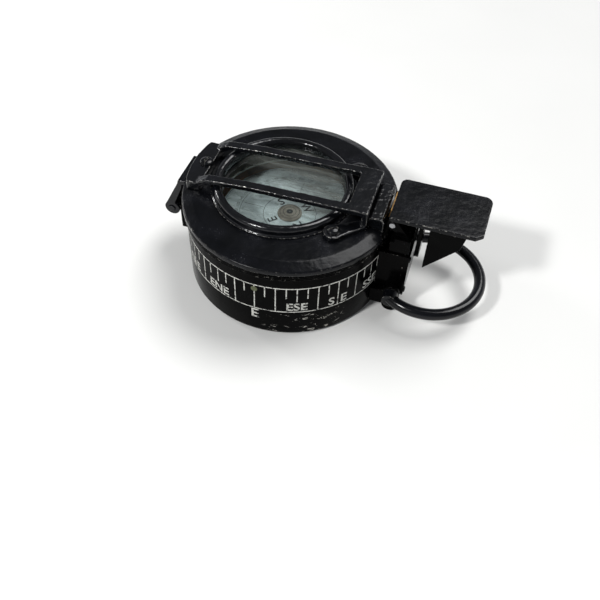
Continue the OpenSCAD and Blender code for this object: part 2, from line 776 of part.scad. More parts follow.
case_body();
base_cover();
base_screws();
bowl();
expansion_diaphragm();
diaphragm_ring();
filler_plug();
pivot_post();
lubber_pointer();
bowl_glass();
glass_gasket();
lock_ring();
retaining_wire();
hinge_base();
hinge_screws();
lid_hinge_pin();
prism_bracket();
bracket_cover();
cover_screws();
ring_lugs();
bezel_ring();
bearing_glass();
glass_clamp();
dial_card();
jewel_cap();
compass_magnets();
lid_plate();
lid_glass();
glass_seal();
window_rim();
hair_line();
window_guard();
guard_screws();
lid_tongue();
lid_hinge_leaf();
prism_slide();
focus_stud();
prism_pin();
prism_hinge();
prism_plate();
prism_case();
prism_glass();
sight_leaf();
eye_lens();
thumb_ring();
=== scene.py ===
# %% [markdown]
# # A handheld bearing compass in black enamel
#
# The compass is a round brass case with a window lid, a folding reading prism and a
# thumb ring, all brushed over with thick black enamel. Its moving pieces and their sizes
# come from a CAD frame, and this notebook gives every piece its surface.
# We load the frame first, because every place and size below is read from it.

# %% Load the frame
import math

import bmesh
import bpy
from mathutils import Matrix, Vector, noise


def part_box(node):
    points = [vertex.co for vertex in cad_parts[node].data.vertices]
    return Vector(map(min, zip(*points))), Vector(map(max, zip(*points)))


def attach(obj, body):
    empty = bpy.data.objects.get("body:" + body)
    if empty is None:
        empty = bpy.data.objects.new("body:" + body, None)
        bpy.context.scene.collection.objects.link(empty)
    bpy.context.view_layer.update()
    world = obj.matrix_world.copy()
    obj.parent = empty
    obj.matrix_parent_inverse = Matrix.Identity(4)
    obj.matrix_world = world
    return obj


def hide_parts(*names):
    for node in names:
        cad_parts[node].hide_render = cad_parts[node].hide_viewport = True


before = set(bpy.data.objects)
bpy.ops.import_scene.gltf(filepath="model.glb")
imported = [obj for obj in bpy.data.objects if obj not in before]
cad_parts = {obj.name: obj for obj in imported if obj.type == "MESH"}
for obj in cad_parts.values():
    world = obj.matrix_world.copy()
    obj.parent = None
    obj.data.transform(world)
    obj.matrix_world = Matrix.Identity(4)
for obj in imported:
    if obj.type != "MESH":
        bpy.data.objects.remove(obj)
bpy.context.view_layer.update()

MM = 0.001
print("pieces from the frame:", len(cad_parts))

# %% [markdown]
# ## The camera
#
# A small object looks right when it is seen from as near as a hand would hold it, so the
# camera stands about a quarter of a metre away and looks down at half a right angle.
# A short distance gives the strong perspective of a close product picture. A longer lens
# from further away would flatten the round case. The shift only moves the compass into
# the upper part of the frame.

# %% Camera
SENSOR_MM = 36
LENS_MM = 43.19
CAMERA_PLACE = Vector((46.4, -146.6, 166.4)) * MM
CAMERA_TURN = math.radians(19.5)
LOOK_DOWN = math.radians(48.45)

camera_data = bpy.data.cameras.new("camera")
camera_data.sensor_width = SENSOR_MM
camera_data.lens = LENS_MM
camera_data.shift_x = 0.0466
camera_data.shift_y = -0.0473
camera_data.clip_start = 0.01
camera = bpy.data.objects.new("camera", camera_data)
camera.location = CAMERA_PLACE
camera.rotation_euler = (math.pi / 2 - LOOK_DOWN, 0, CAMERA_TURN)
bpy.context.collection.objects.link(camera)
bpy.context.scene.camera = camera
print("camera height above the table, mm:", round(CAMERA_PLACE.z / MM))

# %% [markdown]
# ## The frame's own measures
#
# Later cells need a few sizes: the radius of the case, the radius of the card and the
# height of its face.

# %% Measures
case_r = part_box("case_body")[1].x
card_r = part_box("dial_card")[1].x
card_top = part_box("dial_card")[1].z
print("case radius mm:", round(case_r / MM, 2), " card radius mm:", round(card_r / MM, 2))

# %% [markdown]
# ## Colour and node helpers
#
# Screens store colour in sRGB, but a shader works with linear light. One function turns
# a hex colour into the numbers that Blender wants. A second one adds any node, sets it
# and links it in a single line, so that a material reads like a recipe. It has no
# relatives for special kinds of node, so every line says which node it makes. Inputs are
# given by name or by number. A Mix node takes its factor at 0, its colours at 6 and 7,
# and its plain numbers at 2 and 3. A Map Range node takes its value at 0 and its low and
# high end at 1 and 2. A Mapping node takes the stretch at 3.

# %% Colour and node helpers
def colour(hex_code):
    """An sRGB hex colour as linear red, green, blue and full alpha."""
    parts = [int(hex_code[i:i + 2], 16) / 255 for i in (1, 3, 5)]
    linear = [p / 12.92 if p <= 0.04045 else ((p + 0.055) / 1.055) ** 2.4 for p in parts]
    return (*linear, 1.0)


def add(tree, kind, inputs=None, **settings):
    """Adds a node. An input takes a number, a colour, a socket, or a node to link from."""
    made = tree.nodes.new("ShaderNode" + kind)
    for name, value in settings.items():
        setattr(made, name, value)
    for key, value in (inputs or {}).items():
        if isinstance(value, bpy.types.Node):
            value = next(socket for socket in value.outputs if socket.enabled)
        if isinstance(value, bpy.types.NodeSocket):
            tree.links.new(value, made.inputs[key])
        else:
            made.inputs[key].default_value = value
    return made


def per_mm(size_mm):
    """The scale of a texture whose features are this many millimetres across."""
    return 1000.0 / size_mm


def new_material(name):
    """An empty material and its node tree."""
    material = bpy.data.materials.new(name)
    material.use_nodes = True
    material.node_tree.nodes.clear()
    return material, material.node_tree


# The roughness of a noise says how strong its finest detail is. Most here are soft.
SOFT_GRAIN = 0.55
# A Map Range node with this setting goes smoothly from 0 at its low end to 1 at its high end.
SMOOTH = {"interpolation_type": "SMOOTHSTEP"}
print("a grain of 2 mm has the scale", per_mm(2.0))

# %% [markdown]
# ## Black stove enamel on brass
#
# The whole outside is brass under a thick coat of black enamel, put on with a brush. That
# gives the eye four things: a deep black with a little blue in it, a soft gloss that
# breaks up over lumps about a millimetre and a half across, pale dust that sits in the
# low spots, and bare bright metal where hands have rubbed the edges.
#
# The lumps could be painted as an image. Noise in the object's own millimetres needs no
# image, never repeats, and has the same size on every piece. The bare edges come from
# the Bevel node: where its rounded normal differs from the true one, there is an edge.
# On the finely meshed coats of the lid, Pointiness adds the crests of the lumps.

# %% Where the edges are
EDGE_REACH_MM = 0.35


def edge_mask(tree, radius_mm, low=0.03, high=0.22):
    """1 on edges of the shape, within that radius, and 0 on its faces."""
    true_normal = add(tree, "NewGeometry").outputs["Normal"]
    rounded = add(tree, "Bevel", {"Radius": radius_mm * MM}, samples=6)
    same = add(tree, "VectorMath", {0: true_normal, 1: rounded}, operation="DOT_PRODUCT")
    differ = add(tree, "Math", {0: 1.0, 1: same.outputs["Value"]}, operation="SUBTRACT")
    return add(tree, "MapRange", {0: differ, 1: low, 2: high}, **SMOOTH)


print("an edge is felt within mm:", EDGE_REACH_MM)

# %% [markdown]
# ## The recipe for enamel
#
# Five noises of different sizes do the work: clouds of seven millimetres for the tone,
# lumps of one and a half for the gloss, brush strokes, specks of dust, and rubs that
# decide where an edge has lost its paint. The masks made of them then choose between
# black, dust and bare metal, in colour, in roughness and in height.

# %% Enamel
# A darker black that paints the shade on the case side and on the sheltered pieces.
PAINTED_SHADE_BLACKS = ("#020202", "#050505")
WORN_METAL = colour("#a9a7a0")
DUST = colour("#54565a")
BRUSH_STRETCH = (0.35, 1.0, 1.0)
DUST_ROUGHNESS = 0.75
METAL_ROUGHNESS = 0.32


def enamel(name, wear=0.5, dust=0.5, lump=1.0, shine=0.20, ridges=False, extra_wear=None,
           blacks=("#07080a", "#0e0f13"), gloss_range=(0.10, 0.26)):
    """Brushed black enamel; wear, dust and shine go from 0 to 1, ridges suits fine meshes."""
    material, tree = new_material(name)
    here = add(tree, "TexCoord").outputs["Object"]
    brushed = add(tree, "Mapping", {0: here, 3: BRUSH_STRETCH})
    clouds = add(tree, "TexNoise", {"Vector": here, "Scale": per_mm(7.0), "Detail": 3.0,
                                    "Roughness": SOFT_GRAIN})
    lumps = add(tree, "TexNoise", {"Vector": here, "Scale": per_mm(1.5), "Detail": 3.0,
                                   "Roughness": 0.5, "Distortion": 0.3})
    strokes = add(tree, "TexNoise", {"Vector": brushed, "Scale": per_mm(0.55), "Detail": 2.0,
                                     "Roughness": SOFT_GRAIN})
    specks = add(tree, "TexNoise", {"Vector": here, "Scale": per_mm(0.35), "Detail": 2.0,
                                    "Roughness": 0.7})
    rubs = add(tree, "TexNoise", {"Vector": here, "Scale": per_mm(0.9), "Detail": 5.0,
                                  "Roughness": 0.7})

    # Bare metal: on edges only, and there only where the rubs are.
    scuffed = add(tree, "MapRange", {0: rubs, 1: 0.60 - 0.12 * wear, 2: 0.66 - 0.06 * wear}, **SMOOTH)
    edges = edge_mask(tree, EDGE_REACH_MM)
    if ridges:
        bulge = add(tree, "NewGeometry").outputs["Pointiness"]
        crests = add(tree, "MapRange", {0: bulge, 1: 0.52, 2: 0.56}, **SMOOTH)
        edges = add(tree, "Math", {0: edges, 1: crests}, operation="MAXIMUM")
    bare = add(tree, "Math", {0: edges, 1: scuffed}, operation="MULTIPLY", use_clamp=True)
    if extra_wear is not None:
        bare = add(tree, "Math", {0: bare, 1: extra_wear(tree)}, operation="MAXIMUM")

    # Dust: in specks, thicker where the clouds are pale.
    lodging = add(tree, "Math", {0: 0.55, 1: clouds}, operation="ADD")
    settled = add(tree, "Math", {0: specks, 1: lodging}, operation="MULTIPLY")
    dusty = add(tree, "MapRange", {0: settled, 1: 0.80 - 0.06 * dust, 2: 0.90 - 0.05 * dust}, **SMOOTH)

    cloudy = add(tree, "MapRange", {0: clouds, 1: 0.3, 2: 0.75}, **SMOOTH)
    black = add(tree, "Mix", {0: cloudy, 6: colour(blacks[0]), 7: colour(blacks[1])},
                data_type="RGBA")
    dust_share = add(tree, "Math", {0: dusty, 1: 0.55}, operation="MULTIPLY")
    dusted = add(tree, "Mix", {0: dust_share, 6: black, 7: DUST}, data_type="RGBA")
    base = add(tree, "Mix", {0: bare, 6: dusted, 7: WORN_METAL}, data_type="RGBA")

    gloss = add(tree, "Mix", {0: clouds, 2: gloss_range[0], 3: gloss_range[1]}, data_type="FLOAT")
    dulled = add(tree, "Mix", {0: dusty, 2: gloss, 3: DUST_ROUGHNESS}, data_type="FLOAT")
    roughness = add(tree, "Mix", {0: bare, 2: dulled, 3: METAL_ROUGHNESS}, data_type="FLOAT")
    metallic = add(tree, "Math", {0: bare, 1: 0.85}, operation="MULTIPLY")

    coarse = add(tree, "Bump", {"Strength": 0.5 * lump, "Distance": 0.05 * MM, "Height": lumps})
    fine = add(tree, "Bump", {"Strength": 0.35 * lump, "Distance": 0.03 * MM, "Height": strokes,
                              "Normal": coarse})
    chipped = add(tree, "Bump", {"Strength": 0.6, "Distance": 0.05 * MM, "Height": bare,
                                 "Normal": fine}, invert=True)
    shader = add(tree, "BsdfPrincipled", {
        "Base Color": base, "Roughness": roughness, "Metallic": metallic,
        "Specular IOR Level": shine, "Normal": chipped})
    add(tree, "OutputMaterial", {"Surface": shader})
    return material


print("worn metal as linear red, green, blue:", [round(c, 3) for c in WORN_METAL[:3]])

# %% [markdown]
# ## Scratches low on the case
#
# On the side of E and SE the case is scratched below its scale, and white filling has
# been rubbed into the scratches. A scratch could be modelled, but these are flat crumbs of
# paint. So this is a mask: a bent noise, let through only on that side and only low down.

# %% Crumbs of filling
CRUMB_MM = 2.3
CRUMB_STRETCH = (0.5, 1.0, 1.4)


def chips(tree):
    """White filling rubbed into scratches low on the case, on the side of E and SE."""
    here = add(tree, "TexCoord").outputs["Object"]
    x, y, z = add(tree, "SeparateXYZ", {0: here}).outputs
    east = add(tree, "Math", {0: y, 1: -1.0}, operation="MULTIPLY")
    down = add(tree, "Math", {0: z, 1: -1.0}, operation="MULTIPLY")
    on_south = add(tree, "MapRange", {0: x, 1: 1.0 * MM, 2: 7.0 * MM}, **SMOOTH)
    on_east = add(tree, "MapRange", {0: east, 1: 18.0 * MM, 2: 22.0 * MM}, **SMOOTH)
    low = add(tree, "MapRange", {0: down, 1: -9.4 * MM, 2: -8.6 * MM}, **SMOOTH)
    drawn_out = add(tree, "Mapping", {0: here, 3: CRUMB_STRETCH})
    crumbs = add(tree, "TexNoise", {"Vector": drawn_out, "Scale": per_mm(CRUMB_MM), "Detail": 6.0,
                                    "Roughness": 0.72, "Distortion": 1.2})
    crumbs = add(tree, "MapRange", {0: crumbs, 1: 0.60, 2: 0.63}, **SMOOTH)
    side = add(tree, "Math", {0: on_south, 1: on_east}, operation="MULTIPLY")
    low_side = add(tree, "Math", {0: side, 1: low}, operation="MULTIPLY")
    return add(tree, "Math", {0: low_side, 1: crumbs}, operation="MULTIPLY")


print("crumbs are about this long, mm:", CRUMB_MM / CRUMB_STRETCH[0])

# %% [markdown]
# ## Five coats of the same enamel
#
# The paint is the same all over, but its life was not. The lid is dusty and rubbed, and
# the guard is scuffed by hands. The case and the pieces that lie in the shade of others
# get a darker black, which is painted shade, and less wear and dust. The low case also
# has white filling rubbed into its scratches. One recipe with a few numbers gives all five.

# %% The five enamels
lid_enamel = enamel("brushed black enamel, lid", wear=0.6, dust=1.0, lump=1.5, shine=0.14,
                    ridges=True, gloss_range=(0.18, 0.32))
guard_enamel = enamel("brushed black enamel, guard", wear=0.9, dust=0.35, lump=1.7, shine=0.4,
                      ridges=True)
bright_enamel = enamel("brushed black enamel, handled", wear=0.9, dust=0.35, shine=0.25)
# These two get the darker blacks: painted shade on the sheltered pieces and on the case side.
painted_shade_enamel = enamel("brushed black enamel, painted shade", wear=0.25, dust=0.2, shine=0.03,
                      blacks=PAINTED_SHADE_BLACKS)
case_enamel = enamel("brushed black enamel, case, painted shade", wear=0.4, dust=0.2, shine=0.03,
                     extra_wear=chips, blacks=PAINTED_SHADE_BLACKS)
print("enamels made: 5")

# %% [markdown]
# ## Soft edges for turned and bent metal
#
# No real edge is perfectly sharp: a turned rim has a radius of a quarter millimetre, and
# enamel makes it rounder still. Sharp CAD edges catch no light. A chain of modifiers
# mends that without touching the CAD mesh: weld the split corners, dissolve the flat
# triangles, then bevel every edge above a certain angle.

# %% Soften a piece
JOIN_WITHIN = 0.0005 * MM
FLAT_WITHIN = math.radians(0.6)


def soften(name, width_mm, segments=3, angle=32):
    """Rounds the edges of a CAD piece by modifiers, and leaves its mesh alone."""
    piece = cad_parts[name]
    weld = piece.modifiers.new("join corners", "WELD")
    weld.merge_threshold = JOIN_WITHIN
    flat = piece.modifiers.new("clear flat faces", "DECIMATE")
    flat.decimate_type = "DISSOLVE"
    flat.angle_limit = FLAT_WITHIN
    bevel = piece.modifiers.new("round edges", "BEVEL")
    bevel.width = width_mm * MM
    bevel.segments = segments
    bevel.limit_method = "ANGLE"
    bevel.angle_limit = math.radians(angle)
    bevel.harden_normals = True


def finish_piece(name, material, width_mm=0.0):
    """Gives a CAD piece its material and, where it has edges to round, its soft edges."""
    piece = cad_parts[name]
    piece.data.materials.clear()
    piece.data.materials.append(material)
    if width_mm:
        soften(name, width_mm)


print("corners closer than this are one, mm:", JOIN_WITHIN / MM)

# %% [markdown]
# ## Pieces with enamel thick enough to see
#
# On the lid the coats of enamel are so thick that they change the shape: corners are
# drowned, joints are filled and flats sag a little. Modifiers on a CAD mesh can't flow
# like that. So these pieces are laid again as a fine skin: the solid is remeshed at a
# fifth of a millimetre, smoothed like wet paint, and pushed in and out by noise.

# %% Lay a thick coat over a piece
def thick_coat(name, material, body, voxel_mm=0.22, smoothing=5, lump_mm=0.045, lump_size_mm=1.9):
    """A new skin over one CAD piece, with drowned edges and an uneven surface."""
    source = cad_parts[name]
    shell = bmesh.new()
    shell.from_mesh(source.data)
    bmesh.ops.remove_doubles(shell, verts=shell.verts, dist=JOIN_WITHIN)
    mesh = bpy.data.meshes.new(name + "_coat")
    shell.to_mesh(mesh)
    shell.free()
    piece = bpy.data.objects.new(name + "_coat", mesh)
    bpy.context.collection.objects.link(piece)

    skin = piece.modifiers.new("skin", "REMESH")
    skin.mode = "VOXEL"
    skin.voxel_size = voxel_mm * MM
    flow = piece.modifiers.new("flow", "SMOOTH")
    flow.factor = 0.5
    flow.iterations = smoothing
    bpy.context.view_layer.update()
    now = bpy.context.evaluated_depsgraph_get()
    settled = bpy.data.meshes.new_from_object(piece.evaluated_get(now))
    piece.modifiers.clear()
    piece.data = settled

    step = per_mm(lump_size_mm)
    normals = [corner.normal.copy() for corner in settled.vertices]
    for corner, normal in zip(settled.vertices, normals):
        swell = noise.noise(corner.co * step) + 0.5 * noise.noise(corner.co * step * 2.3)
        corner.co = corner.co + normal * (swell * lump_mm * MM)
    settled.shade_smooth()
    settled.materials.clear()
    settled.materials.append(material)
    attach(piece, body)
    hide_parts(name)
    print(name, "coat faces:", len(settled.polygons))


thick_coat("lid_plate", lid_enamel, "lid", 0.26, 3, 0.035)
thick_coat("window_rim", guard_enamel, "lid", 0.22, 4, 0.04)
thick_coat("window_guard", guard_enamel, "lid", 0.20, 10, 0.06)
thick_coat("lid_tongue", guard_enamel, "lid", 0.16, 5, 0.06, 1.1)
thick_coat("prism_plate", lid_enamel, "prism", 0.18, 4, 0.03)

# %% [markdown]
# ## The rest of the enamelled metal
#
# The turned case, the bezel, the hinge and the prism holder keep their CAD meshes, with
# softened edges. Pieces in the shade of others get the darker enamel, whose black is
# painted shade, with less wear than the handled pieces.

# %% Enamelled pieces
for name, width in {"bezel_ring": 0.08, "base_cover": 0.2, "prism_bracket": 0.35,
                    "bracket_cover": 0.3, "ring_lugs": 0.35, "prism_slide": 0.3,
                    "prism_case": 0.25, "sight_leaf": 0.2, "hinge_base": 0.3}.items():
    finish_piece(name, painted_shade_enamel, width)
for name, width in {"lid_hinge_leaf": 0.3, "thumb_ring": 0.0, "guard_screws": 0.1,
                    "cover_screws": 0.06, "hinge_screws": 0.06, "lid_hinge_pin": 0.15}.items():
    finish_piece(name, bright_enamel, width)
finish_piece("case_body", case_enamel, 0.2)
print("slots of the case:", [slot.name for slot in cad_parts["case_body"].data.materials])

# %% [markdown]
# ## Brass and steel inside
#
# The bowl and its rings are turned brass. Turning leaves fine rings round the axis, which
# stretch every highlight sideways. Real tool marks are a few hundredths of a millimetre
# apart, too fine to show here, so they are drawn at a third of a millimetre.

# %% Turned brass and steel
TURNING_MM = 0.33


def turned_metal(name, hex_code, roughness, tarnish_hex, tarnish, metallic=1.0):
    """A metal turned on a lathe about the case axis, with some tarnish."""
    material, tree = new_material(name)
    here = add(tree, "TexCoord").outputs["Object"]
    x, y, _ = add(tree, "SeparateXYZ", {0: here}).outputs
    x_squared = add(tree, "Math", {0: x, 1: 2.0}, operation="POWER")
    y_squared = add(tree, "Math", {0: y, 1: 2.0}, operation="POWER")
    radius_squared = add(tree, "Math", {0: x_squared, 1: y_squared}, operation="ADD")
    radius = add(tree, "Math", {0: radius_squared}, operation="SQRT")
    phase = add(tree, "Math", {0: radius, 1: 2 * math.pi * per_mm(TURNING_MM)}, operation="MULTIPLY")
    rings = add(tree, "Math", {0: phase}, operation="SINE")
    clouds = add(tree, "TexNoise", {"Vector": here, "Scale": per_mm(4.0), "Detail": 5.0,
                                    "Roughness": SOFT_GRAIN})
    patches = add(tree, "MapRange", {0: clouds, 1: 0.35, 2: 0.7}, **SMOOTH)
    stain = add(tree, "Math", {0: patches, 1: tarnish}, operation="MULTIPLY")
    base = add(tree, "Mix", {0: stain, 6: colour(hex_code), 7: colour(tarnish_hex)},
               data_type="RGBA")
    gloss = add(tree, "Mix", {0: clouds, 2: roughness, 3: roughness + 0.25}, data_type="FLOAT")
    marks = add(tree, "Bump", {"Strength": 0.25, "Distance": 0.01 * MM, "Height": rings})
    shader = add(tree, "BsdfPrincipled", {"Base Color": base, "Roughness": gloss,
                                          "Metallic": metallic, "Normal": marks})
    add(tree, "OutputMaterial", {"Surface": shader})
    return material


brass = turned_metal("turned brass", "#b8915a", 0.30, "#5c4630", 0.5)
nickel = turned_metal("nickel-plated brass", "#c9c7bd", 0.26, "#77736a", 0.4)
old_brass = turned_metal("dull tarnished brass", "#8f8b80", 0.55, "#5f5a50", 0.8, 0.15)
steel = turned_metal("machined steel", "#b5b6b8", 0.33, "#6a6a6c", 0.4)
for name, width in {"bowl": 0.1, "focus_stud": 0.1, "prism_hinge": 0.1, "expansion_diaphragm": 0.0,
                    "diaphragm_ring": 0.0, "filler_plug": 0.0}.items():
    finish_piece(name, brass, width)
for name in ("lock_ring", "glass_clamp"):
    finish_piece(name, nickel, 0.12)
finish_piece("jewel_cap", old_brass, 0.1)
for name in ("base_screws", "pivot_post", "compass_magnets", "retaining_wire", "prism_pin"):
    finish_piece(name, steel)
print("turned metals made: 4")

# %% [markdown]
# ## Rubber seals
#
# The lid glass and the bowl glass sit on rings cut from sheet rubber, which is nearly
# black, matt and a little dusty. Cut rubber has next to no gloss, so it needs only a
# speckle in its colour and a fine bump, both from small noise.

# %% Rubber
def rubber():
    """Cut sheet rubber: matt and slightly dusty."""
    material, tree = new_material("cut sheet rubber")
    here = add(tree, "TexCoord").outputs["Object"]
    speckle = add(tree, "TexNoise", {"Vector": here, "Scale": per_mm(0.5), "Detail": 4.0,
                                     "Roughness": SOFT_GRAIN})
    weave = add(tree, "TexNoise", {"Vector": here, "Scale": per_mm(0.2), "Detail": 3.0,
                                   "Roughness": SOFT_GRAIN})
    base = add(tree, "Mix", {0: speckle, 6: colour("#161616"), 7: colour("#2a2a29")},
               data_type="RGBA")
    bump = add(tree, "Bump", {"Strength": 0.3, "Distance": 0.02 * MM, "Height": weave})
    shader = add(tree, "BsdfPrincipled", {"Base Color": base, "Roughness": 0.8, "Normal": bump})
    add(tree, "OutputMaterial", {"Surface": shader})
    return material


seal_rubber = rubber()
for name in ("glass_gasket", "glass_seal"):
    finish_piece(name, seal_rubber)
print("rubber rings: 2")

# %% [markdown]
# ## Glass
#
# There are three flat glasses over the card, a prism and a small eye lens. Real
# refraction through three panes would need many light bounces to reach the card, and the
# panes are flat, so they bend nothing. A pane is therefore a Transparent shader with a
# mirror on top, mixed by Fresnel: weak head on and strong at a grazing angle. Fresnel
# takes the inner face of a pane for one seen from inside glass, and makes it a full
# mirror, so the mirror is kept to the outer face. The lid glass also has a grey film:
# the grime and wiped streaks of an instrument that is never cleaned. The streaks run
# along the guard bars and also stand for a painted reflection of them. The film
# thickens into painted shade toward the far side, where the rim shades the card.
# Light passes only so many clear faces before the renderer gives up and calls it dark.
# A look through three panes uses six of them, and the way from the card to the lamps
# would use six more, so the card would be black. The clear pieces therefore cast no
# shadow, which real thin glass hardly does either.

# %% Glass panes
GLASS_IOR = 1.45
WIPE_STRETCH = (0.12, 1.0, 1.0)


def grime_and_painted_shade(tree, amount):
    """Grey on the lid glass: grime in wiped streaks, also a painted reflection of the bars,
    and painted shade, thin near the reader, thick far off.
    """
    here = add(tree, "TexCoord").outputs["Object"]
    # The streaks are wiped grime, and they also paint the reflection of the dark guard bars, which run
    # the same way.
    wiped = add(tree, "Mapping", {0: here, 3: WIPE_STRETCH})
    streaks = add(tree, "TexNoise", {"Vector": wiped, "Scale": per_mm(1.3), "Detail": 4.0,
                                     "Roughness": 0.6, "Distortion": 0.4})
    streaks = add(tree, "MapRange", {0: streaks, 1: 0.42, 2: 0.75}, **SMOOTH)
    x, y, _ = add(tree, "SeparateXYZ", {0: here}).outputs
    along_x = add(tree, "Math", {0: x, 1: 0.5}, operation="MULTIPLY")
    along_y = add(tree, "Math", {0: y, 1: 0.85}, operation="MULTIPLY")
    across = add(tree, "Math", {0: along_x, 1: along_y}, operation="ADD")
    # Painted shade: the film grows thick toward the far side, where the rim shades the far part of the
    # card.
    far = add(tree, "MapRange", {0: across, 1: -7.0 * MM, 2: 6.0 * MM}, **SMOOTH)
    in_streaks = add(tree, "Math", {0: streaks, 1: 0.7}, operation="MULTIPLY")
    everywhere = add(tree, "Math", {0: in_streaks, 1: 0.45}, operation="ADD")
    far_share = add(tree, "Math", {0: far, 1: amount}, operation="MULTIPLY")
    return add(tree, "Math", {0: everywhere, 1: far_share}, operation="MULTIPLY", use_clamp=True)


def pane(name, film=0.0, tint="#fbfcfc"):
    """A flat clear pane; film is how much grey grime and painted shade lies on it."""
    material, tree = new_material(name)
    share = add(tree, "Fresnel", {"IOR": GLASS_IOR})
    if film:
        share = add(tree, "Math", {0: share, 1: grime_and_painted_shade(tree, film)}, operation="MAXIMUM")
    inside = add(tree, "NewGeometry").outputs["Backfacing"]
    outside = add(tree, "Math", {0: 1.0, 1: inside}, operation="SUBTRACT")
    share = add(tree, "Math", {0: share, 1: outside}, operation="MULTIPLY")
    clear = add(tree, "BsdfTransparent", {"Color": colour(tint)})
    surface = add(tree, "BsdfPrincipled", {
        "Base Color": colour("#5c5f5b" if film else "#050606"), "Roughness": 0.12 if film else 0.06})
    both = add(tree, "MixShader", {0: share, 1: clear, 2: surface})
    add(tree, "OutputMaterial", {"Surface": both})
    return material


lid_pane = pane("old plate glass with grime and painted shade", film=0.8)
clear_pane = pane("clear plate glass")
crown_glass = pane("crown glass prism", tint="#c8d6d2")
clear_pieces = {"lid_glass": lid_pane, "bearing_glass": clear_pane, "bowl_glass": clear_pane,
                "eye_lens": clear_pane, "prism_glass": crown_glass}
for name, glass in clear_pieces.items():
    finish_piece(name, glass)
    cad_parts[name].visible_shadow = False
print("clear pieces that cast no shadow:", len(clear_pieces))

# %% [markdown]
# ## The card
#
# The card is mother-of-pearl, cut thin and polished: pale blue-green, with cloudy bands
# that shift between green and grey. The bands are a stretched noise that is bent by a
# second noise, so they curve as the layers of shell do.

# %% Mother-of-pearl
SHELL_STRETCH = (0.45, 1.0, 1.0)


def mother_of_pearl():
    """Polished shell, pale blue-green, with soft curved bands and yellowed spots."""
    material, tree = new_material("polished mother-of-pearl")
    here = add(tree, "TexCoord").outputs["Object"]
    layers = add(tree, "Mapping", {0: here, 3: SHELL_STRETCH})
    bands = add(tree, "TexNoise", {"Vector": layers, "Scale": per_mm(3.5), "Detail": 5.0,
                                   "Roughness": 0.6, "Distortion": 1.4})
    specks = add(tree, "TexNoise", {"Vector": here, "Scale": per_mm(1.6), "Detail": 4.0,
                                    "Roughness": 0.65})
    spots = add(tree, "MapRange", {0: specks, 1: 0.55, 2: 0.72}, **SMOOTH)
    banded = add(tree, "MapRange", {0: bands, 1: 0.3, 2: 0.7}, **SMOOTH)
    shell = add(tree, "Mix", {0: banded, 6: colour("#95a1a1"), 7: colour("#c2cfce")},
                data_type="RGBA")
    spot_share = add(tree, "Math", {0: spots, 1: 0.5}, operation="MULTIPLY")
    spotted = add(tree, "Mix", {0: spot_share, 6: shell, 7: colour("#5d6a68")}, data_type="RGBA")
    polish = add(tree, "Mix", {0: bands, 2: 0.22, 3: 0.45}, data_type="FLOAT")
    shader = add(tree, "BsdfPrincipled", {"Base Color": spotted, "Roughness": polish})
    add(tree, "OutputMaterial", {"Surface": shader})
    return material


pearl = mother_of_pearl()
finish_piece("dial_card", pearl)
print("made:", pearl.name)

# %% [markdown]
# ## Printing ink
#
# The letters, the degree marks and the hair line are black ink that has gone grey where
# it is rubbed thin. The rubbed places are a noise of about half a millimetre, cut off
# softly, so that the ink fades in patches rather than as a whole.

# %% Ink
INK_RUBBED = 0.06


def ink(name, dark, rubbed_share):
    """Black printing ink, rubbed thin in places."""
    material, tree = new_material(name)
    here = add(tree, "TexCoord").outputs["Object"]
    rubs = add(tree, "TexNoise", {"Vector": here, "Scale": per_mm(0.6), "Detail": 4.0,
                                  "Roughness": 0.7})
    rubbed = add(tree, "MapRange", {0: rubs, 1: 0.62 - rubbed_share, 2: 0.78 - rubbed_share}, **SMOOTH)
    base = add(tree, "Mix", {0: rubbed, 6: colour(dark), 7: colour("#7b8884")}, data_type="RGBA")
    shader = add(tree, "BsdfPrincipled", {"Base Color": base, "Roughness": 0.55})
    add(tree, "OutputMaterial", {"Surface": shader})
    return material


card_ink = ink("black printing ink on the card", "#23282a", INK_RUBBED)
finish_piece("hair_line", card_ink)
print("made:", card_ink.name)

# %% [markdown]
# ## White filling
#
# The marks round the case are cut into the metal and filled with white paint by hand.
# The paint has shrunk, yellowed and fallen out in crumbs, and where it is gone the black
# ground shows. The mix below is one mask of crumbs: white outside it and black inside.

# %% White paint filling
def white_filling():
    """Old white paint in a cut line, with crumbs missing."""
    material, tree = new_material("old white paint filling")
    here = add(tree, "TexCoord").outputs["Object"]
    crumbs = add(tree, "TexNoise", {"Vector": here, "Scale": per_mm(0.8), "Detail": 5.0,
                                    "Roughness": 0.7})
    stains = add(tree, "TexNoise", {"Vector": here, "Scale": per_mm(1.8), "Detail": 3.0,
                                    "Roughness": SOFT_GRAIN})
    chalk = add(tree, "TexNoise", {"Vector": here, "Scale": per_mm(0.3), "Detail": 3.0,
                                   "Roughness": SOFT_GRAIN})
    missing = add(tree, "MapRange", {0: crumbs, 1: 0.53, 2: 0.60}, **SMOOTH)
    white = add(tree, "Mix", {0: stains, 6: colour("#8f8f8a"), 7: colour("#e6e6df")},
                data_type="RGBA")
    base = add(tree, "Mix", {0: missing, 6: white, 7: colour("#1a1b1c")}, data_type="RGBA")
    bump = add(tree, "Bump", {"Strength": 0.5, "Distance": 0.04 * MM, "Height": chalk})
    shader = add(tree, "BsdfPrincipled", {"Base Color": base, "Roughness": 0.7, "Normal": bump})
    add(tree, "OutputMaterial", {"Surface": shader})
    return material


filling = white_filling()
finish_piece("lubber_pointer", filling)
print("made:", filling.name)

# %% [markdown]
# ## Marks wrapped round the case
#
# The scale round the case has 64 divisions between two full rings, and names at the
# points of the compass. Flat marks could be projected with an image. Modelled strips stay
# sharp at any distance, so each mark is a thin shape drawn flat, in millimetres along
# and up, and then wrapped on the case a few hundredths of a millimetre proud of it.

# %% Flat shapes and how they wrap
STAND_OFF = 0.03 * MM
STRIP_STEP = 0.5 * MM
SHAKE_SIZE_MM = 0.9


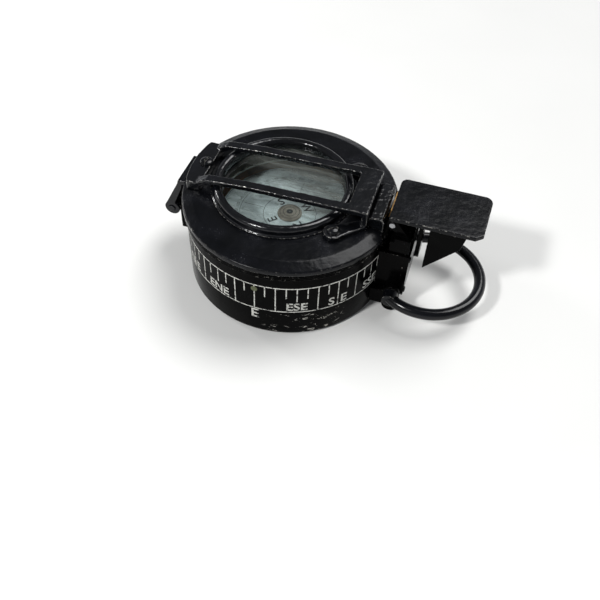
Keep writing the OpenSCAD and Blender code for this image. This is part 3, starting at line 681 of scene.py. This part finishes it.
def wrap(piece_mesh, radius):
    """Bends a mesh drawn in X (along the rim) and Y (up) onto the case."""
    for corner in piece_mesh.vertices:
        angle = corner.co.x / radius
        height = corner.co.y
        out = radius + corner.co.z
        corner.co = Vector((out * math.cos(angle), out * math.sin(angle), height))


def lettering(text, size_mm, thicken_mm=0.0):
    """The mesh of a short text, centred on the origin, with its baseline on Y = 0."""
    curve = bpy.data.curves.new("lettering", "FONT")
    curve.body = text
    curve.size = size_mm * MM
    curve.align_x = "CENTER"
    curve.offset = thicken_mm * MM
    curve.resolution_u = 4
    writer = bpy.data.objects.new("lettering", curve)
    bpy.context.collection.objects.link(writer)
    bpy.context.view_layer.update()
    now = bpy.context.evaluated_depsgraph_get()
    mesh = bpy.data.meshes.new_from_object(writer.evaluated_get(now))
    bpy.data.objects.remove(writer)
    bpy.data.curves.remove(curve)
    return mesh


def strip(marks, x0, x1, y0, y1, wobble_mm=0.03, steps=None):
    """A flat strip in the mesh being built, with slightly uneven edges."""
    along_x = abs(x1 - x0) > abs(y1 - y0)
    length = max(abs(x1 - x0), abs(y1 - y0))
    steps = steps or max(2, int(length / STRIP_STEP))
    rows = []
    for i in range(steps + 1):
        t = i / steps
        pair = []
        for side in (0, 1):
            x = x0 + (x1 - x0) * (t if along_x else side)
            y = y0 + (y1 - y0) * (side if along_x else t)
            shake = noise.noise(Vector((x, y, side)) * per_mm(SHAKE_SIZE_MM)) * wobble_mm * MM
            x, y = (x, y + shake) if along_x else (x + shake, y)
            pair.append(marks.verts.new((x, y, STAND_OFF)))
        rows.append(pair)
    for a, b in zip(rows, rows[1:]):
        marks.faces.new((a[0], b[0], b[1], a[1]) if along_x else (a[0], a[1], b[1], b[0]))


print("marks stand proud by mm:", STAND_OFF / MM)

# %% [markdown]
# ## The scale round the case
#
# Two lines run right round the case with 64 divisions between them. Full ticks stand at
# every second division, short ones hang from the upper line at the odd divisions, and a
# half-long tick stands over each three-letter name. A hand with a graving tool made
# them, so the strips have slightly uneven edges and the short ticks uneven lengths.

# %% Lines and ticks
UPPER_LINE = 19.8 * MM
LOWER_LINE = 10.1 * MM
LINE_W = 0.36 * MM
TICK_W = 0.32 * MM
DIVISIONS = 64
LINE_STEPS = 400
NAME_TICK = 0.56
SHORT_TICK = 0.42
rim = 2 * math.pi * case_r
band = UPPER_LINE - LOWER_LINE


def tick_reach(index):
    """How far down the band a tick reaches, as a share of the band."""
    if index % 4 == 0 and index % 8:
        return NAME_TICK
    if index % 2:
        return SHORT_TICK + 0.08 * noise.noise(Vector((index * 0.7, 0, 0)))
    return 1.0


marks = bmesh.new()
for line in (UPPER_LINE, LOWER_LINE):
    strip(marks, -rim / 2, rim / 2, line - LINE_W / 2, line + LINE_W / 2, 0.06, LINE_STEPS)
for index in range(DIVISIONS):
    x = (index / DIVISIONS - 0.5) * rim
    low = UPPER_LINE - band * tick_reach(index)
    strip(marks, x - TICK_W / 2, x + TICK_W / 2, low, UPPER_LINE, 0.05)
scale_mesh = bpy.data.meshes.new("case_scale")
marks.to_mesh(scale_mesh)
marks.free()
wrap(scale_mesh, case_r)
print("ticks round the case:", DIVISIONS)

# %% [markdown]
# ## The names round the case
#
# The names run clockwise from above, so seen from the side they read from left to right
# against the angle. S faces the prism. The one-letter names are larger and hang below
# the lower line. In the two-letter names the letters stand well apart, so each letter is
# wrapped by itself. Lines, ticks and names are then joined into one piece of paint.

# %% Names round the case
CORNERS = ("S", "SE", "E", "NE", "N", "NW", "W", "SW")
BETWEEN = ("SSE", "ESE", "ENE", "NNE", "NNW", "WNW", "WSW", "SSW")
LETTER_MM = 4.2
BIG_LETTER_MM = LETTER_MM * 1.2
LETTER_THICKEN_MM = 0.085
LETTER_APART = 1.9 * MM
LETTER_FOOT = LOWER_LINE + 0.7 * MM
BIG_FOOT = LOWER_LINE - 4.0 * MM


def case_letters(text, at_angle, base_z, size_mm):
    """Letters on the case, standing at an angle round it, with their feet at base_z."""
    mesh = lettering(text, size_mm, LETTER_THICKEN_MM)
    for corner in mesh.vertices:
        corner.co.x += at_angle * case_r
        corner.co.y += base_z
        corner.co.z = STAND_OFF
    wrap(mesh, case_r)
    return mesh


def join_meshes(name, meshes, material, body):
    """One object from several meshes, riding on a body."""
    whole = bmesh.new()
    for mesh in meshes:
        whole.from_mesh(mesh)
    joined = bpy.data.meshes.new(name)
    whole.to_mesh(joined)
    whole.free()
    joined.materials.append(material)
    piece = bpy.data.objects.new(name, joined)
    bpy.context.collection.objects.link(piece)
    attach(piece, body)
    return piece


letter_meshes = [scale_mesh]
for i, name in enumerate(CORNERS):
    angle = -math.pi / 4 * i
    if len(name) == 2:
        for side, letter in zip((-1, 1), name):
            letter_meshes.append(case_letters(letter, angle + side * LETTER_APART / case_r,
                                              LETTER_FOOT, LETTER_MM))
    else:
        letter_meshes.append(case_letters(name, angle, BIG_FOOT, BIG_LETTER_MM))
for i, name in enumerate(BETWEEN):
    angle = -math.pi / 4 * i - math.pi / 8
    letter_meshes.append(case_letters(name, angle, LETTER_FOOT, LETTER_MM))
# The flat mesh of lines has the name case_scale, so the joined piece is numbered after it.
case_scale = join_meshes("case_scale.001", letter_meshes, filling, "case")
print("scale faces:", len(case_scale.data.polygons))

# %% [markdown]
# ## Printing on the card
#
# The card carries four letters round the cap, a ring of numbers and a ring of degree
# marks near its rim. It is drawn flat, in the card's own plane, and rides on the card, so
# it turns with it. The letters run clockwise, with N toward the near right.

# %% Marks that lie on the card
INK_LIFT = 0.02 * MM
NORTH = math.radians(-45)


def lay_on_card(mesh, angle, radius):
    """Turns a flat mesh so that its top points outward, and lays it on the card."""
    turn = angle - math.pi / 2
    for corner in mesh.vertices:
        x, y = corner.co.x, corner.co.y + radius
        corner.co = Vector((x * math.cos(turn) - y * math.sin(turn),
                            x * math.sin(turn) + y * math.cos(turn), card_top + INK_LIFT))
    return mesh


def radial_mark(marks, angle, r0, r1, width):
    """A thin mark on the card, along a radius."""
    side = Vector((-math.sin(angle), math.cos(angle), 0)) * width / 2
    out = Vector((math.cos(angle), math.sin(angle), 0))
    lift = Vector((0, 0, card_top + INK_LIFT))
    corners = [out * r0 - side, out * r1 - side, out * r1 + side, out * r0 + side]
    marks.faces.new([marks.verts.new(c + lift) for c in corners])


def circle_mark(marks, radius, width, height=card_top, steps=120):
    """A thin printed ring on the card, or at another height."""
    for i in range(steps):
        a, b = (2 * math.pi * k / steps for k in (i, i + 1))
        corners = [(radius + s * width / 2, t) for s, t in ((-1, a), (1, a), (1, b), (-1, b))]
        marks.faces.new([marks.verts.new((r * math.cos(t), r * math.sin(t), height + INK_LIFT))
                         for r, t in corners])


print("north on the card, degrees:", round(math.degrees(NORTH)))

# %% [markdown]
# ## What the card says
#
# Everything is placed by its distance from the pivot, in millimetres. The numbers stand
# every ten degrees, and the fine marks every two, with a longer one at each tenth degree.
# Eight lines run between the two inner rings. Three small rings lie on the jewel cap.

# %% Printing on the card
DEGREE_MARKS = 180
MARGIN_R = card_r - 0.4 * MM
CARD_LETTER_MM = 3.9
CARD_NUMBER_MM = 1.25
LETTER_R = 4.3 * MM
NUMBER_R = 15.4 * MM
CARD_RINGS = ((MARGIN_R, 0.14 * MM), (14.9 * MM, 0.12 * MM), (7.8 * MM, 0.14 * MM))
CAP_RINGS = ((0.55 * MM, 0.8 * MM), (1.9 * MM, 0.14 * MM), (2.9 * MM, 0.12 * MM))
card_meshes = []
for i, letter in enumerate("NESW"):
    flat_letter = lettering(letter, CARD_LETTER_MM, 0.06)
    card_meshes.append(lay_on_card(flat_letter, NORTH - math.pi / 2 * i, LETTER_R))
for i in range(36):
    flat_number = lettering(str(10 * i), CARD_NUMBER_MM)
    card_meshes.append(lay_on_card(flat_number, NORTH - math.pi / 18 * i, NUMBER_R))
printed = bmesh.new()
for i in range(DEGREE_MARKS):
    reach = (1.8 if i % 5 == 0 else 1.0) * MM
    angle = 2 * math.pi * i / DEGREE_MARKS
    radial_mark(printed, angle, MARGIN_R - reach, MARGIN_R, 0.11 * MM)
for i in range(8):
    radial_mark(printed, NORTH + math.pi / 4 * i, 8.2 * MM, 14.6 * MM, 0.14 * MM)
for radius, width in CARD_RINGS:
    circle_mark(printed, radius, width)
cap_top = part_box("jewel_cap")[1].z
for radius, width in CAP_RINGS:
    circle_mark(printed, radius, width, cap_top)
card_rings = bpy.data.meshes.new("card_rings")
printed.to_mesh(card_rings)
printed.free()
card_print = join_meshes("card_printing", card_meshes + [card_rings], card_ink, "card")
print("card printing faces:", len(card_print.data.polygons))

# %% [markdown]
# ## A bright edge in the well, painted
#
# The lock ring round the inner glass has lost its paint on its sharp inner edge, and the
# edge catches the light in a thin pale arc across the dark half of the window. It could be
# left to an edge mask, but no lamp reaches so deep, so the arc is a painted highlight: a
# narrow strip of near-white colour, which lies on the ring as the printed circles lie on
# the card.

# %% Bright edge
def painted_highlight_nickel():
    """A painted highlight on rubbed nickel: near white, with dark gaps where the paint still holds."""
    material, tree = new_material("pale nickel edge, painted highlight")
    here = add(tree, "TexCoord").outputs["Object"]
    patches = add(tree, "TexNoise", {"Vector": here, "Scale": per_mm(2.4), "Detail": 4.0,
                                     "Roughness": SOFT_GRAIN})
    gaps = add(tree, "MapRange", {0: patches, 1: 0.45, 2: 0.6}, **SMOOTH)
    base = add(tree, "Mix", {0: gaps, 6: colour("#fbf8ec"), 7: colour("#6a675c")}, data_type="RGBA")
    shader = add(tree, "BsdfPrincipled", {"Base Color": base, "Roughness": 0.35, "Metallic": 0.2})
    add(tree, "OutputMaterial", {"Surface": shader})
    return material


LOCK_INNER = 21.35 * MM
EDGE_W = 0.5 * MM
EDGE_STEPS = 160
# A painted highlight: a near-white strip along the inner edge of the lock ring.
edge = bmesh.new()
circle_mark(edge, LOCK_INNER + EDGE_W / 2, EDGE_W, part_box("lock_ring")[1].z, EDGE_STEPS)
edge_mesh = bpy.data.meshes.new("lock_ring_edge")
edge.to_mesh(edge_mesh)
edge.free()
join_meshes("lock_ring_edge", [edge_mesh], painted_highlight_nickel(), "case")
print("bright edge, faces:", len(edge_mesh.polygons))

# %% [markdown]
# ## A green stud at E
#
# A small brass stud stands under the upper line at the E mark, and has gone green with
# verdigris. It is a turned shape, so it is drawn as a profile of radius against height,
# swept round in twenty-eight steps, with a shallow dimple in its head.

# %% Green stud
def verdigris():
    """Brass gone green, dull and powdery."""
    material, tree = new_material("verdigris on brass")
    here = add(tree, "TexCoord").outputs["Object"]
    powder = add(tree, "TexNoise", {"Vector": here, "Scale": per_mm(0.4), "Detail": 4.0,
                                    "Roughness": SOFT_GRAIN})
    base = add(tree, "Mix", {0: powder, 6: colour("#2c3526"), 7: colour("#62653f")},
               data_type="RGBA")
    shader = add(tree, "BsdfPrincipled", {"Base Color": base, "Roughness": 0.6})
    add(tree, "OutputMaterial", {"Surface": shader})
    return material


STUD_Z = 18.2 * MM
STUD_STEPS = 28
STUD_PROFILE = ((0.95, 0.02), (0.92, 0.12), (0.66, 0.24), (0.40, 0.27), (0.30, 0.20), (0.02, 0.16))
stud = bmesh.new()
rings = []
for r, out in STUD_PROFILE:
    turns = [2 * math.pi * k / STUD_STEPS for k in range(STUD_STEPS)]
    rings.append([stud.verts.new((r * MM * math.cos(t), -case_r - out * MM,
                                  STUD_Z + r * MM * math.sin(t))) for t in turns])
for low, high in zip(rings, rings[1:]):
    for k in range(STUD_STEPS):
        stud.faces.new((low[k - 1], low[k], high[k], high[k - 1]))
bmesh.ops.recalc_face_normals(stud, faces=stud.faces)
stud_mesh = bpy.data.meshes.new("east_stud")
stud.to_mesh(stud_mesh)
stud.free()
stud_mesh.shade_smooth()
join_meshes("east_stud", [stud_mesh], verdigris(), "case")
print("stud below the upper line, mm:", round((UPPER_LINE - STUD_Z) / MM, 1))

# %% [markdown]
# ## Floor
#
# The compass stands on matt card. A real sweep of card curves up behind the object. A
# flat one that runs far past every view looks the same and is simpler. A very soft cloud
# in its colour keeps it from looking like an empty screen.

# %% Floor
FLOOR_REACH = 12.0


def pale_floor():
    """Matt pale card under the object."""
    material, tree = new_material("matt pale card")
    here = add(tree, "TexCoord").outputs["Object"]
    shade = add(tree, "TexNoise", {"Vector": here, "Scale": per_mm(60.0), "Detail": 2.0,
                                   "Roughness": SOFT_GRAIN})
    base = add(tree, "Mix", {0: shade, 6: colour("#dadad8"), 7: colour("#e0e0de")},
               data_type="RGBA")
    shader = add(tree, "BsdfPrincipled", {"Base Color": base, "Roughness": 0.9})
    add(tree, "OutputMaterial", {"Surface": shader})
    return material


floor_mesh = bpy.data.meshes.new("floor")
floor_mesh.from_pydata([(-FLOOR_REACH, -FLOOR_REACH, 0), (FLOOR_REACH, -FLOOR_REACH, 0),
                        (FLOOR_REACH, FLOOR_REACH, 0), (-FLOOR_REACH, FLOOR_REACH, 0)], [],
                       [(0, 1, 2, 3)])
floor_mesh.materials.append(pale_floor())
floor = bpy.data.objects.new("floor", floor_mesh)
bpy.context.collection.objects.link(floor)
print("floor reach, m:", FLOOR_REACH)

# %% [markdown]
# ## Light
#
# Black gloss shows its lamps more than its colour, so the lamps are placed by what they
# mirror in. The main light stands high behind the right side, where neither the flat top
# nor the sloping shoulder of the lid can mirror it toward the viewer, and both stay
# black. It is a sun with a very wide disc, which is soft like a big box, and lights the
# floor evenly however far it goes. Two small lamps draw the bright lines along the edges.

# %% Lamps
LAMP_TARGET = (0, 0, 25)


def aim(holder, place_mm, target_mm):
    """Puts a lamp at a place and turns it to a target, both in millimetres."""
    holder.location = Vector(place_mm) * MM
    toward = Vector(target_mm) * MM - holder.location
    holder.rotation_euler = toward.to_track_quat("-Z", "Y").to_euler()
    bpy.context.collection.objects.link(holder)


def small_lamp(name, place_mm, size_mm, watts):
    """A small square lamp that faces the compass."""
    lamp = bpy.data.lights.new(name, "AREA")
    lamp.shape = "SQUARE"
    lamp.size = size_mm * MM
    lamp.energy = watts
    aim(bpy.data.objects.new(name, lamp), place_mm, LAMP_TARGET)


wide_sun = bpy.data.lights.new("wide soft sun", "SUN")
wide_sun.energy = 2.8
wide_sun.angle = math.radians(38)
aim(bpy.data.objects.new("wide soft sun", wide_sun), (330, 560, 1060), (0, 0, 0))
small_lamp("small front lamp", (-260, -420, 520), 70, 3.2)
small_lamp("small left lamp", (-620, 160, 260), 80, 1.0)
print("lamps:", len(bpy.data.lights))

# %% [markdown]
# ## The room
#
# The sky is pale near the floor and dim above, as in a white room. A world shader sees
# the direction of each ray as its Generated coordinate, so the height of that direction
# sets the strength. The Standard view transform keeps the floor as pale as it is made.

# %% Room
HORIZON_STRENGTH = 0.95
ZENITH_STRENGTH = 0.21
world = bpy.data.worlds.new("white room")
world.use_nodes = True
room = world.node_tree
direction = add(room, "TexCoord").outputs["Generated"]
height = add(room, "SeparateXYZ", {0: direction}).outputs[2]
climb = add(room, "MapRange", {0: height, 1: 0.02, 2: 0.40}, **SMOOTH)
strength = add(room, "Mix", {0: climb, 2: HORIZON_STRENGTH, 3: ZENITH_STRENGTH}, data_type="FLOAT")
sky = room.nodes["Background"]
sky.inputs["Color"].default_value = colour("#e6e9ee")
room.links.new(strength.outputs[0], sky.inputs["Strength"])
bpy.context.scene.world = world
bpy.context.scene.view_settings.view_transform = "Standard"
print("sky strength:", HORIZON_STRENGTH, "to", ZENITH_STRENGTH)
